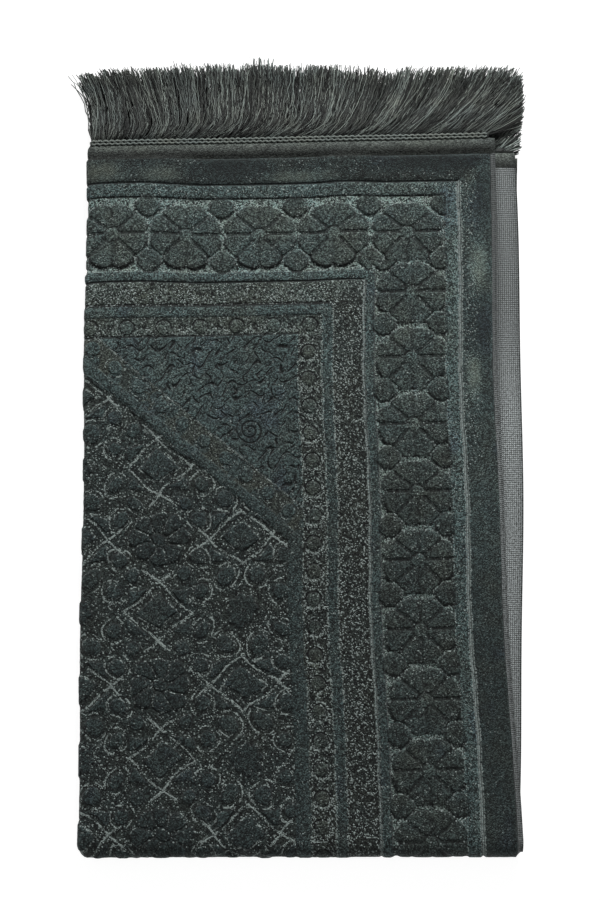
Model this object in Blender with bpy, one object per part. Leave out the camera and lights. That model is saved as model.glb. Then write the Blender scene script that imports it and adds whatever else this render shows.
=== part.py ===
"""A plush prayer rug, folded in half along its length and then in half across it.

The rug lies with its fringed ends at +Y and its two folds at -X and -Y. Every piece is first made
flat, in the rug's own measures, and then folded:
    u   across the rug, 0 on its centre line
    v   along the rug, 0 at the end that lies on top, RUG_LENGTH at the end that lies below
    h   through the cloth, 0 on its woven back, CLOTH on the tips of its pile
"""
import math
import random

import bmesh
import bpy
from mathutils import Vector

# ---- driving dimensions, in metres -------------------------------------------------------------
RUG_WIDTH = 0.700
RUG_LENGTH = 1.170
BACKING = 0.0017            # woven ground that carries the pile
CLOTH = 0.0060              # ground and pile together
BACK_GAP = 0.0010           # between the two backs inside the lengthwise fold
FACE_GAP = 0.0010           # between the two piles inside the crosswise fold
FOLD_SKEW = math.radians(1.0)   # the lengthwise fold runs this much off the rug's centre line
FOLD_STEPS = 8              # flats round each fold
CORNER_TUCK = 0.0035        # how far the doubly folded corner is drawn in
CARVE_STEP = 0.0010         # width of the slope between two carved levels

# Carved frame, from the rug's edge to its field. Each row starts a level that lasts until the next:
# name, where it starts from a side, where it starts from an end, height against the full pile.
FRAME = (
    ("outer band", 0.0040, 0.0130, 0.0),
    ("first groove", 0.0300, 0.0345, -0.0011),
    ("inner stripe", 0.0322, 0.0367, 0.0),
    ("rosette ground", 0.0435, 0.0480, -0.0011),
    ("middle stripe", 0.1020, 0.1070, 0.0),
    ("speckled band", 0.1110, 0.1195, -0.0009),
    ("plain stripe", 0.1365, 0.1397, 0.0),
    ("bead row", 0.1460, 0.1485, -0.0011),
    ("field", 0.1650, 0.1635, 0.0),
)
HEM_LEVEL = -0.0016         # the turned end, flat-woven, lies below the pile
SELVEDGE_LEVEL = -0.0040    # the bare woven side
HEM_ROUND = 0.0030          # how far the hem's two long edges are rounded
FIELD_LINES_ACROSS = (0.060, 0.120)             # where the field can give, from the centre line
FIELD_LINES_ALONG = (0.245, 0.330, 0.415, 0.500)    # the same, from each end

# Gentle unevenness of the stack: name, height or shift, wave length across, along, phase.
SWELLS = (
    ("long swell", 0.0007, 0.410, 0.530, 0.7),
    ("short swell", 0.0004, 0.170, 0.210, 2.1),
)
SIDE_WAVER = (0.0006, 0.230, 0.4)    # shift, wave length and phase of the sides' slight waver
SIDE_DRAW = 0.0052          # how far the top half's free side is drawn in, halfway along
HIDDEN_DRAW = -1.0          # the hidden half's share of that: it spreads by as much

# Fringe: a heading tape along each end, and locks of yarn that hang from it.
LOCKS = 104                 # at each end of the rug
TAPE_CLEARANCE = 0.0003     # between the hem and the tape
TAPE_WIDTH = 0.0040
TAPE_INSET = 0.0050         # the tape stops this far inside each selvedge
TAPE_THICKNESS = 0.0020
LOCK_SHARE = 0.55           # share of a lock's pitch that its yarn takes
LOCK_STEPS = (0.30, 0.36, 0.34)     # share of a lock's length in each of its runs
FRINGE_LENGTH = 0.058       # at the sides
FRINGE_CREST = 0.010        # how much longer the locks are at the crest
CREST_AT = 0.210            # the crest's distance from the lengthwise fold
CREST_SPREAD = 0.110
LENGTH_SPREAD = 0.0030
LEAN = (0.0070, 0.0030, -0.0010)    # sideways run of each step, away from the fold
LEAN_START = 0.070          # nearer the fold than this the locks lean the other way
LOCK_SHARE_TIP = 0.70       # a lock's width at its tip, as a share of its root's
LOCK_STRAY = 0.0004         # how far each run strays to a side
TAPE_UNDERSIDE = 0.0015     # height in the cloth
SETTLED_SHARE = 0.34        # height over the lowest locks that a settled lock keeps
SETTLE_REACH = (0.014, 0.060)   # distance past the hems in which the lowest and highest locks settle
SETTLED_THICKNESS = 0.75    # a lock's thickness at its tip, as a share of its root's
FOLD_PINCH = 0.45           # how much the tape is drawn in where it turns round the fold

# ---- sizes that follow -------------------------------------------------------------------------
HALF_WIDTH = RUG_WIDTH / 2
HALF_LENGTH = RUG_LENGTH / 2
PACK = CLOTH + BACK_GAP / 2             # from the middle of the two backs to the tips of the pile
SIDE_RADIUS = (BACK_GAP + CLOTH) / 2    # middle of the cloth, round the lengthwise fold
SIDE_TURN = SIDE_RADIUS * math.pi / 2   # cloth from the fold's crest to where it lies flat
END_CENTRE = PACK + FACE_GAP / 2        # middle of the folded pair, from the crosswise fold's axis
END_RADIUS = END_CENTRE + SIDE_RADIUS   # middle of the outer cloth, round the crosswise fold
END_TURN = END_RADIUS * math.pi / 2
AXIS_HEIGHT = END_CENTRE + PACK         # the crosswise fold's axis above the floor
STACK = 2 * AXIS_HEIGHT                 # four layers
END_LINE = HALF_LENGTH - END_TURN       # the rug's ends, from the crosswise fold's axis
TAPE_TOP = TAPE_UNDERSIDE + TAPE_THICKNESS
LOWEST_TAPE = CLOTH - TAPE_TOP          # the tapes' heights above the floor
HIGHEST_TAPE = STACK - CLOTH + TAPE_UNDERSIDE


# ---- the fold ----------------------------------------------------------------------------------
def fold_measures(u, v):
    """Distance from the lengthwise fold's line, and along it from the crosswise fold's crest."""
    along = v - HALF_LENGTH
    p = u * math.cos(FOLD_SKEW) + along * math.sin(FOLD_SKEW)
    q = along * math.cos(FOLD_SKEW) - u * math.sin(FOLD_SKEW)
    return p, q


def fold_lengthwise(p, h):
    """Back to back round the side fold. Gives x, and the height above the middle of the pair."""
    reach = BACK_GAP / 2 + h
    if abs(p) > SIDE_TURN:
        return abs(p) - SIDE_TURN, math.copysign(reach, p)
    angle = p / SIDE_RADIUS
    return -reach * math.cos(angle), reach * math.sin(angle)


def fold_crosswise(q, height):
    """Pile to pile round the end fold. Gives y and z."""
    reach = END_CENTRE + height
    if abs(q) > END_TURN:
        return abs(q) - END_TURN, AXIS_HEIGHT - math.copysign(reach, q)
    angle = q / END_RADIUS
    return -reach * math.cos(angle), AXIS_HEIGHT - reach * math.sin(angle)


def drawn_in(p, x, y):
    """How far the cloth is drawn towards the lengthwise fold, most halfway down the free side."""
    share = HIDDEN_DRAW + (1 - HIDDEN_DRAW) * (1 + max(-1.0, min(p / SIDE_TURN, 1.0))) / 2
    halfway = max(0.0, 1 - (2 * y / END_LINE - 1) ** 2)
    return SIDE_DRAW * share * halfway * x / HALF_WIDTH


def uneven(x, y, z):
    """The slight swells of a real stack. They fade towards the floor, which is flat."""
    rise = z / STACK
    lift = sum(size * math.sin(math.tau * (x / across + y / along) + phase)
               for _, size, across, along, phase in SWELLS)
    size, length, phase = SIDE_WAVER
    shift = size * math.sin(math.tau * y / length + phase)
    return x + shift, y, z + lift * rise


def folded(u, v, h):
    """The place of a point of the flat rug once the rug is folded."""
    p, q = fold_measures(u, v)
    x, height = fold_lengthwise(p, h)
    y, z = fold_crosswise(q, height)
    near_corner = math.exp(-max(x + PACK, 0.0) / (2 * PACK))
    in_turn = max(0.0, -y / AXIS_HEIGHT)
    x += CORNER_TUCK * near_corner * in_turn ** 2
    return uneven(x - drawn_in(p, x, y), y, z)


# ---- flat work ---------------------------------------------------------------------------------
def flat_block(low, high):
    bm = bmesh.new()
    bmesh.ops.create_cube(bm, size=1.0)
    size = Vector(high) - Vector(low)
    bmesh.ops.scale(bm, vec=size, verts=bm.verts)
    bmesh.ops.translate(bm, vec=(Vector(low) + Vector(high)) / 2, verts=bm.verts)
    return bm


def cut(bm, point, normal, above=-1.0):
    """One straight line of new points across the work, or across what lies above a height."""
    verts = [vert for vert in bm.verts if vert.co.z > above]
    edges = [edge for edge in bm.edges if all(vert.co.z > above for vert in edge.verts)]
    faces = [face for face in bm.faces if all(vert.co.z > above for vert in face.verts)]
    bmesh.ops.bisect_plane(bm, geom=verts + edges + faces, dist=1e-7, plane_co=point, plane_no=normal)


def cut_fold_lines(bm):
    """Lines along both folds, which run askew to the rug's own sides and ends."""
    centre = Vector((0.0, HALF_LENGTH, 0.0))
    across = Vector((math.cos(FOLD_SKEW), math.sin(FOLD_SKEW), 0.0))
    along = Vector((-math.sin(FOLD_SKEW), math.cos(FOLD_SKEW), 0.0))
    for step in range(FOLD_STEPS + 1):
        place = 2 * step / FOLD_STEPS - 1
        cut(bm, centre + across * SIDE_TURN * place, across)
        cut(bm, centre + along * END_TURN * place, along)


def carved_level(u, v):
    """Height against the full pile, by the frame's nested bands."""
    from_side = HALF_WIDTH - abs(u)
    from_end = min(v, RUG_LENGTH - v)
    level = SELVEDGE_LEVEL
    for _, side, end, height in FRAME:
        if from_side > side and from_end > end:
            level = height
    hem_depth = FRAME[0][2]
    if from_end < hem_depth and from_side > FRAME[0][1]:
        edge = min(from_end, hem_depth - from_end)
        level = HEM_LEVEL - (0.0 if edge > HEM_ROUND / 2 else HEM_ROUND / 3)
    return level


def finish_piece(name, bm, place, colour, roughness):
    """Folds the flat work, gives it its finish and puts it in the scene."""
    for vert in bm.verts:
        vert.co = Vector(place(*vert.co))
    if bm.calc_volume(signed=True) < 0:     # the fold mirrors the flat work
        bmesh.ops.reverse_faces(bm, faces=bm.faces)
    bmesh.ops.triangulate(bm, faces=bm.faces)
    mesh = bpy.data.meshes.new(name)
    bm.to_mesh(mesh)
    bm.free()
    mesh.shade_smooth()
    mesh.set_sharp_from_angle(angle=math.radians(40))
    piece = bpy.data.objects.new(name, mesh)
    bpy.context.scene.collection.objects.link(piece)
    material = bpy.data.materials.new(name + "_finish")
    material.use_nodes = True
    shader = material.node_tree.nodes["Principled BSDF"]
    shader.inputs["Base Color"].default_value = (*colour, 1.0)
    shader.inputs["Roughness"].default_value = roughness
    shader.inputs["Metallic"].default_value = 0.0
    mesh.materials.append(material)
    return piece


# ---- rug cloth ---------------------------------------------------------------------------------
def make_rug():
    """One sheet: woven ground, carved pile, turned ends and bare selvedges, folded twice."""
    bm = flat_block((-HALF_WIDTH, 0.0, 0.0), (HALF_WIDTH, RUG_LENGTH, CLOTH))
    across = Vector((1.0, 0.0, 0.0))
    along = Vector((0.0, 1.0, 0.0))
    for _, side, end, _ in FRAME:
        for slope in (-CARVE_STEP / 2, CARVE_STEP / 2):
            for way in (-1, 1):
                cut(bm, across * way * (HALF_WIDTH - side - slope), across, above=BACKING)
                place = HALF_LENGTH + way * (HALF_LENGTH - end - slope)
                cut(bm, along * place, along, above=BACKING)
    for way in (-1, 1):
        place = HALF_LENGTH + way * (HALF_LENGTH - HEM_ROUND)
        cut(bm, along * place, along, above=BACKING)
        for place in FIELD_LINES_ACROSS:
            cut(bm, across * way * place, across)
        for place in FIELD_LINES_ALONG:
            cut(bm, along * (HALF_LENGTH + way * (HALF_LENGTH - place)), along)
    cut_fold_lines(bm)
    for vert in bm.verts:
        if vert.co.z > BACKING:
            vert.co.z = CLOTH + carved_level(vert.co.x, vert.co.y)
    return finish_piece("rug_cloth", bm, folded, (0.043, 0.057, 0.060), 0.95)


# ---- fringe ------------------------------------------------------------------------------------
def lock_length(reach, draw):
    crest = math.exp(-((reach - CREST_AT) / CREST_SPREAD) ** 2)
    return FRINGE_LENGTH + FRINGE_CREST * crest + draw.uniform(-1, 1) * LENGTH_SPREAD


def place_lock(bm, face, centre, draw):
    """Draws one lock out of the tape's rim, run by run. It leans away from the lengthwise fold."""
    reach = abs(centre)
    outward = math.copysign(min(1.0, (reach - LEAN_START) / LEAN_START), centre)
    outward *= 1.0 if reach > LEAN_START else 0.5
    length = lock_length(reach, draw)
    narrower = LOCK_SHARE_TIP ** (1 / len(LEAN))
    for share, lean in zip(LOCK_STEPS, LEAN):
        face = bmesh.ops.extrude_discrete_faces(bm, faces=[face])["faces"][0]
        stray = draw.uniform(-1, 1) * LOCK_STRAY
        step = Vector((lean * outward + stray, -share * length, 0.0))
        bmesh.ops.translate(bm, vec=step, verts=face.verts)
        middle = face.calc_center_median()
        for vert in face.verts:
            vert.co.x = middle.x + (vert.co.x - middle.x) * narrower


def settle(low, thick, past):
    """Height of a point of a lock, past the hems: it sinks on the locks below it, or to the floor."""
    layer = min(max((low - LOWEST_TAPE) / (HIGHEST_TAPE - LOWEST_TAPE), 0.0), 1.0)
    reach = SETTLE_REACH[0] + (SETTLE_REACH[1] - SETTLE_REACH[0]) * layer
    part = min(max(past / reach, 0.0), 1.0)
    ease = part * part * (3 - 2 * part)
    rest = max(low - LOWEST_TAPE, 0.0) * SETTLED_SHARE
    return low + (rest - low) * ease + thick * (1 - (1 - SETTLED_THICKNESS) * ease)


def make_fringe(name, lower_end, draw):
    """A heading tape with its locks. It is worked flat at the rug's top end, then laid at its own."""
    half_tape = HALF_WIDTH - TAPE_INSET
    tape_root = -TAPE_CLEARANCE - TAPE_WIDTH
    bm = flat_block((-half_tape, tape_root, TAPE_UNDERSIDE), (half_tape, -TAPE_CLEARANCE, TAPE_TOP))
    pitch = 2 * half_tape / LOCKS
    centres = [(index + 0.5) * pitch - half_tape for index in range(LOCKS)]
    for centre in centres:
        for way in (-1, 1):
            edge = centre + way * LOCK_SHARE * pitch / 2
            cut(bm, Vector((edge, 0.0, 0.0)), Vector((1.0, 0.0, 0.0)))
    rim = [face for face in bm.faces if all(vert.co.y < tape_root + TAPE_WIDTH / 2 for vert in face.verts)]
    for centre in centres:
        root = min(rim, key=lambda face: abs(face.calc_center_median().x - centre))
        rim.remove(root)
        place_lock(bm, root, centre, draw)

    def laid(u, v, h):
        """Folded like the cloth, then settled past the hems."""
        v = RUG_LENGTH - v if lower_end else v
        x, y, z = folded(u, v, h)
        low = min(folded(u, v, side)[2] for side in (TAPE_UNDERSIDE, TAPE_TOP))
        if x < 0.0:
            x *= 1 - FOLD_PINCH
        return x, y, settle(low, z - low, y - END_LINE)

    return finish_piece(name, bm, laid, (0.050, 0.055, 0.050), 0.9)


# ---- the whole ---------------------------------------------------------------------------------
def stand_on_origin(pieces):
    """Puts the middle of the whole rug's footprint over the origin, with its underside at 0."""
    corners = [vert.co for piece in pieces for vert in piece.data.vertices]
    shift = Vector([-(min(co[axis] for co in corners) + max(co[axis] for co in corners)) / 2
                    for axis in (0, 1)] + [0.0])
    for piece in pieces:
        for vert in piece.data.vertices:
            vert.co += shift


def main():
    for item in list(bpy.data.objects):
        bpy.data.objects.remove(item, do_unlink=True)
    draw = random.Random(27)
    stand_on_origin([
        make_rug(),
        make_fringe("fringe_upper", False, draw),
        make_fringe("fringe_lower", True, draw),
    ])


main()
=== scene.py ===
"""Looks of a plush prayer rug, folded in half along its length and then in half across it.

Flat measures on the rug: u across it from its centre line, v along it from the end that lies on top,
and h up through the cloth from its woven back. Sizes are metres, or millimetres where a name says so.
"""
import math

import bmesh
import bpy
import numpy as np
from mathutils import Matrix, Vector


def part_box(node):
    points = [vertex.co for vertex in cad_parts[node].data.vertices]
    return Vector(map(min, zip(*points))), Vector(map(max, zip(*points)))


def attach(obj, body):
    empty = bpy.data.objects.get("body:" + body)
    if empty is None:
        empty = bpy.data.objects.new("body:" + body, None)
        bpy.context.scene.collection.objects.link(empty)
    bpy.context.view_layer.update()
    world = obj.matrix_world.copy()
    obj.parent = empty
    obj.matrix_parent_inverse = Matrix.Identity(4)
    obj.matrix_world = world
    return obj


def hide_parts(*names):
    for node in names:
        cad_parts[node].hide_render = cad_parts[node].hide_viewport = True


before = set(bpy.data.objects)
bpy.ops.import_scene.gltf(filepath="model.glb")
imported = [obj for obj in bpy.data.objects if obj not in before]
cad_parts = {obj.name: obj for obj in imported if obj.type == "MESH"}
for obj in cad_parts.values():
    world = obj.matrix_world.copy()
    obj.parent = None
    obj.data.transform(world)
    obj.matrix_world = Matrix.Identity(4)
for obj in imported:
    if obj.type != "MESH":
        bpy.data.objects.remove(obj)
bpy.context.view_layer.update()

# ---- rug cloth: how it lies --------------------------------------------------------------------
# One woven sheet, 70 x 117 cm and 6 mm thick with its pile, is folded back to back along a line that
# runs a little askew, and then pile to pile across the middle, so that its two ends lie together.
WIDTH, LENGTH = 0.700, 1.170
GROUND, CLOTH = 0.0017, 0.0060              # thickness of the bare weave, and with its pile
BACK_GAP, FACE_GAP = 0.0010, 0.0010         # between layers, back to back and pile to pile
SKEW = math.radians(1.0)
PACK = CLOTH + BACK_GAP / 2
SIDE_RADIUS = (BACK_GAP + CLOTH) / 2
SIDE_TURN = SIDE_RADIUS * math.pi / 2
END_CENTRE = PACK + FACE_GAP / 2
END_RADIUS = END_CENTRE + SIDE_RADIUS
END_TURN = END_RADIUS * math.pi / 2
AXIS_HEIGHT = END_CENTRE + PACK
STACK = 2 * AXIS_HEIGHT
END_LINE = LENGTH / 2 - END_TURN
CORNER_TUCK = 0.0035
SIDE_DRAW, HIDDEN_DRAW = 0.0052, -1.0       # the top half's free side is drawn in, the hidden one spreads
SWELLS = ((0.0007, 0.410, 0.530, 0.7),      # height, lengths across and along, and phase of each
          (0.0004, 0.170, 0.210, 2.1))
SIDE_WAVER = (0.0006, 0.230, 0.4)           # size, length and phase


def folded(u, v, h):
    """Where points of the flat rug lie once it is folded, before the rug is centred."""
    along = v - LENGTH / 2
    p = u * math.cos(SKEW) + along * math.sin(SKEW)
    q = along * math.cos(SKEW) - u * math.sin(SKEW)
    reach = BACK_GAP / 2 + h
    angle = np.clip(p / SIDE_RADIUS, -math.pi / 2, math.pi / 2)
    x = np.where(abs(p) > SIDE_TURN, abs(p) - SIDE_TURN, -reach * np.cos(angle))
    reach = END_CENTRE + reach * np.sin(angle)
    angle = np.clip(q / END_RADIUS, -math.pi / 2, math.pi / 2)
    y = np.where(abs(q) > END_TURN, abs(q) - END_TURN, -reach * np.cos(angle))
    z = AXIS_HEIGHT - reach * np.sin(angle)
    near_corner = np.exp(-np.maximum(x + PACK, 0.0) / (2 * PACK))
    x = x + CORNER_TUCK * near_corner * np.maximum(0.0, -y / AXIS_HEIGHT) ** 2
    share = HIDDEN_DRAW + (1 - HIDDEN_DRAW) * (1 + np.clip(p / SIDE_TURN, -1.0, 1.0)) / 2
    halfway = np.maximum(0.0, 1 - (2 * y / END_LINE - 1) ** 2)
    x = x - SIDE_DRAW * share * halfway * x / (WIDTH / 2)
    lift = sum(size * np.sin(math.tau * (x / across + y / length) + phase)
               for size, across, length, phase in SWELLS)
    size, length, phase = SIDE_WAVER
    return x + size * np.sin(math.tau * y / length + phase), y, z + lift * z / STACK


# The CAD cloth's own lowest corner gives how far the folded rug is moved to be centred.
crest = np.stack(folded(*(np.array(n) for n in np.meshgrid(
    np.linspace(-WIDTH / 2, WIDTH / 2, 200), np.linspace(0, LENGTH, 600), [0.0, CLOTH]))))
low_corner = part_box("rug_cloth")[0]
centring = np.array([low_corner[0] - crest[0].min(), low_corner[1] - crest[1].min(), 0.0])


# ---- rug cloth: its carved pattern -------------------------------------------------------------
# The pile is cut at two heights by the loom and then carved: nested border bands, a border of
# eight-petalled rosettes, a row of beads, and a pointed niche with a half-drop lattice of lozenges and
# flowers below it. The same chart shapes the cloth's mesh, in numpy, and its shading, in nodes.
class Reading:
    """A value that varies over the cloth, worked out by shader nodes."""

    def __init__(self, tree, socket):
        self.tree, self.socket = tree, socket

    def __add__(self, other):
        return work("ADD", self, other)

    def __sub__(self, other):
        return work("SUBTRACT", self, other)

    def __rsub__(self, other):
        return work("SUBTRACT", other, self)

    def __mul__(self, other):
        return work("MULTIPLY", self, other)

    def __truediv__(self, other):
        return work("DIVIDE", self, other)

    __radd__, __rmul__ = __add__, __mul__


SUMS = {
    "ADD": np.add, "SUBTRACT": np.subtract, "MULTIPLY": np.multiply, "DIVIDE": np.divide,
    "MINIMUM": np.minimum, "MAXIMUM": np.maximum, "ABSOLUTE": np.abs, "SINE": np.sin, "COSINE": np.cos,
    "ARCTAN2": np.arctan2, "FLOORED_MODULO": np.mod,
    "MULTIPLY_ADD": lambda value, factor, term: value * factor + term,
    "PINGPONG": lambda value, span: abs(np.mod(value - span, 2 * span) - span),
}


def work(operation, *values):
    """One sum: a math node where any value is a Reading, or numpy's where none is."""
    tree = next((value.tree for value in values if isinstance(value, Reading)), None)
    if tree is None:
        return SUMS[operation](*values)
    node = tree.nodes.new("ShaderNodeMath")
    node.operation = operation
    for socket, value in zip(node.inputs, values):
        if isinstance(value, Reading):
            tree.links.new(value.socket, socket)
        else:
            socket.default_value = value
    return Reading(tree, node.outputs[0])


def slope_between(value, low, high, to, soft, start=0.0):
    """From `start` to `to` between two values, level outside them, straight or with soft ends."""
    if not isinstance(value, Reading):
        part = np.clip((value - low) / (high - low), 0.0, 1.0)
        return start + (to - start) * (part * part * (3 - 2 * part) if soft else part)
    node = value.tree.nodes.new("ShaderNodeMapRange")
    node.interpolation_type = "SMOOTHSTEP" if soft else "LINEAR"
    value.tree.links.new(value.socket, node.inputs["Value"])
    for name, number in (("From Min", low), ("From Max", high), ("To Min", start), ("To Max", to)):
        node.inputs[name].default_value = number
    return Reading(value.tree, node.outputs["Result"])


def rise(value, low, high, to=1.0):
    return slope_between(value, low, high, to, soft=True)


def fall(value, low, high):
    return slope_between(value, low, high, 0.0, soft=True, start=1.0)


def size_of(value):
    return work("ABSOLUTE", value)


def least(first, *others):
    for other in others:
        first = work("MINIMUM", first, other)
    return first


def most(first, *others):
    for other in others:
        first = work("MAXIMUM", first, other)
    return first


def blend(part, off, on):
    return work("MULTIPLY_ADD", on - off, part, off)


def spaced(value, pitch, first):
    """Distance from the nearest of a row of places, a pitch apart."""
    return work("FLOORED_MODULO", value - (first - pitch / 2), pitch) - pitch / 2


def distance(x, y):
    if not isinstance(x, Reading):
        return np.hypot(x, y)
    joined, length = x.tree.nodes.new("ShaderNodeCombineXYZ"), x.tree.nodes.new("ShaderNodeVectorMath")
    length.operation = "LENGTH"
    for socket, value in zip(joined.inputs, (x, y)):
        x.tree.links.new(value.socket, socket)
    x.tree.links.new(joined.outputs[0], length.inputs[0])
    return Reading(x.tree, length.outputs["Value"])


def within(value, opening, closing):
    """1 between two soft edges, each given as where it starts and ends."""
    return rise(value, *opening) * fall(value, *closing)


def line(offset, half_width):
    """1 on a line and 0 beside it, from the distance to its middle."""
    return fall(size_of(offset), half_width * 0.4, half_width * 1.3)


HALF_MM = WIDTH * 500
PATTERN_MM = 1201.4                     # the pattern's length, as its far half is woven closer
TAKE_UP = (573.0, 1000.0, 31.4)         # from, to, and how much pattern the far half takes up
SIDE_WAVERS = ((0.5, 173.0, 0.0), (0.3, 47.0, 1.0))     # size, length and start of each
SWAY = 1.2                              # the cross lines near the end are drawn in by this,
SWAYS = ((40.0, 8.0, 74.0, -3.8),       # and dip here: middle, flat half, whole half and size
         (226.0, 2.0, 34.0, -1.3))
SWAY_FADES = (85.0, 180.0)

# The same border line's distance from an end and from a side.
END_BANDS = ((13.0, 4.0), (35.2, 30.6), (47.8, 43.5), (111.0, 102.0), (118.8, 110.5), (138.4, 136.5),
             (148.5, 146.0), (164.2, 165.0))

# Border bands by their distance from the side: name, start, pile height against full, tone along the
# sides, tone along the ends, share of pale tufts, share of olive.
# A groove's tone across the ends, far below its tone along the sides, is painted shade, as the light comes
# from beyond an end.
BANDS = (
    ("selvedge", -20.0, -4.0, 0.9, 0.9, 0.0, 0.3),
    ("outer band", 4.0, 0.0, 0.71, 0.37, 0.03, 0.3),
    ("first groove", 30.1, -1.5, 0.95, 0.40, 0.0, 0.0),
    ("inner stripe", 31.9, 0.0, 1.34, 1.0, 0.06, 0.1),
    ("rosette ground", 43.5, -1.6, 1.75, 2.00, 0.20, 0.5),
    ("middle stripe", 102.0, 0.0, 1.0, 1.15, 0.05, 0.1),
    ("second groove", 110.0, -1.5, 0.9, 0.35, 0.0, 0.0),
    ("speckled band", 111.7, -0.6, 0.38, 0.74, 0.18, 0.9),
    ("plain stripe", 136.5, -0.1, 0.86, 0.95, 0.04, 0.1),
    ("bead ground", 146.0, -0.5, 0.66, 0.78, 0.10, 0.8),
    ("field", 165.0, -0.1, 0.92, 0.92, 0.03, 0.0),
)
BAND_STEP_HALF = 0.55
# Lines between the bands: place, half width and darkness across the ends, which is painted shade in the
# grooves, and half width and paleness along the sides, which is a painted highlight where the tufts catch
# the light.
BAND_LINES = ((30.9, 0.8, 0.62, 2.1, 1.0), (43.5, 0.8, 0.7, 1.2, 0.3), (110.8, 0.8, 0.75, 1.5, 0.8),
              (136.4, 1.7, 0.9, 1.2, 0.35), (145.8, 1.0, 0.3, 1.2, 0.4), (165.0, 1.2, 0.8, 1.2, 0.25))
# Painted shade: a dark line inside the second groove, along the sides, where the groove's wall lies in
# shade.
SPECKLED_EDGE_SHADE = (113.6, 0.9)            # a dark line inside the second groove, and its half width

# How much darker each part of the pattern is than its ground, or lighter where below 0.
DARKER = {
    "brushed up": -2.0, "brushed down": 0.42, "speckled edge": 0.4,
    "rosette": 0.54, "rosette rim": 0.85, "rosette disc": -0.4, "ray": 0.62,
    "bud": 0.56, "bud moat": 0.75, "bud middle": 0.35,
    "bead": -0.35, "bead moat": 0.85, "bead row side": 0.4, "cross": 0.75,
    "bar": 0.10, "slope": 0.25, "sprig": 0.88,
    "lattice": 0.51, "lattice figure": -0.21, "lattice bloom": 0.15,
}
# How far each is carved below its ground, in millimetres, or stands up where below 0.
DEEPER = {
    "band line": 0.6, "ray": 0.7, "bud moat": 0.5, "bead": -0.6, "bead moat": 0.5, "cross": 0.5,
    "slope": 0.6, "sprig": 1.2, "lattice": 1.0, "lattice figure": -1.1, "lattice line": -0.2,
}

# Painted shade: away from the fringed end the light falls off, and the pile is darkened to match: where it
# sets in along the rug, and how much darker it gets inside the frame and on the outer band.
PAINTED_SHADE_INSIDE, INSIDE_EDGE = (190.0, 340.0), (31.5, 33.5)
PAINTED_SHADE_OUTER, OUTER_EDGE = (300.0, 430.0), (29.0, 32.0)
PAINTED_SHADE_DARKER = (0.30, 0.36)
# Places on the outer band where the pile lies brushed towards the light, painted lighter as a painted sheen,
# and away from it,
# painted darker as a painted shade: across, along, and half sizes.
BRUSHED_UP_LIT = ((334.0, 108.0, 12.0, 30.0), (330.0, 203.0, 10.0, 30.0), (24.0, 26.0, 30.0, 16.0),
              (70.0, 28.0, 26.0, 12.0), (188.0, 30.0, 44.0, 9.0))
BRUSHED_DOWN_SHADED = ((300.0, 18.0, 75.0, 14.0), (339.0, 50.0, 15.0, 34.0), (336.0, 160.0, 18.0, 34.0),
                (128.0, 20.0, 44.0, 16.0))
BRUSHED_EDGE = (28.5, 30.0)
BRUSHED_OLIVE = (0.7, 1.2)              # more where brushed up, and less where brushed down
SLEEK = (0.15, 0.5, 0.3)                # even pile: along the sides, brushed up and brushed down
FLECKS = ((12.0, 22.0), (230.0, 320.0), 0.08)   # pale tufts from here inwards, until here along the side

ROSETTE_ROW = (61.3, 30.2, 78.2)        # pitch, first place and middle line of the rosettes at an end
ROSETTE_SIDE = (55.6, 129.6, 278.8)     # the same along a side
ROSETTE_ENDS = ((102.9, 103.5), (245.6, 246.4))     # the row at the end, from the end and across
ROSETTE_HALF = (30.3, 25.2, 30.8)       # to a side, upwards and downwards
ROSETTE_ZONE = ((43.0, 44.0), (101.6, 102.6))
ROSETTE_MM = 27.0                       # its mean radius, for the widths of lines
ROSETTE_NOTCH, ROSETTE_DISC = 0.12, 0.19
ROSETTE_CROWN = (1.60, 0.40)            # height at its middle, and how much lower its edge is
BUD_OFF = 23.3                          # buds stand this far off the rosettes' middle line
BUD_HALF = (10.4, 9.6)
BUD_CORNER = 1.32                       # how far its corners are cut, against a full square of 2
BUD_ZONE = ((40.8, 41.8), (104.6, 105.6))
BUD_HEIGHT = 1.45
BEAD_ROW = (30.3, 12.6, 157.0)          # pitch, first place and middle line, as for the rosettes
BEAD_SIDE = (22.45, 157.6, 193.4)
BEAD_END = (166.0, 167.0)
BEAD_RADIUS = 5.6
BEAD_ZONE = ((146.6, 147.4), (163.6, 164.4))
BEAD_SHADED = ((148.2, 2.0), (162.8, 2.0))      # dark edges of the row along a side, and half widths
BEAD_RING = (2.4, 0.9)                  # pale tufts round a bead along a side: how far out, half width
CROSS_SPREAD = 4.2                      # crosses between beads are pairs along a side

NICHE_SLOPE, NICHE_TIP = 0.868, 160.0
NICHE_DOTS = (22.4, 19.5)               # pitch and first place down the slope
NICHE_DOT_EDGE, NICHE_DOT_RING = (4.8, 6.0), (7.6, 0.7)
NICHE_OPENS = (17.0, 95.0, -8.0)        # the dots near the tip stand wider
NICHE_EDGES = (-9.0, 9.5, 18.5)         # outer line, bar and lattice, square to the slope
NICHE_SIDES = (183.8, 172.5)            # bar and lattice, from the centre line
NICHE_SOFT = (-0.6, 0.6)                # edges between the niche's parts
FIELD_EDGE = (164.5, 165.5)
# Sprigs are two families of wavy lines: radians to the millimetre across and along, then two bends, each
# with its own radians to the millimetre across and along, and its size.
SPRIGS = (((0.20, 0.60), (0.36, 0.05, 1.5), (0.17, -0.11, 1.8)),
          ((0.52, 0.16), (0.11, 0.33, 1.4), (-0.07, 0.21, 1.6)))
SWIRL = (144.0, 244.0, 11.5, 4.4)       # place, radius and pitch

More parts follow.
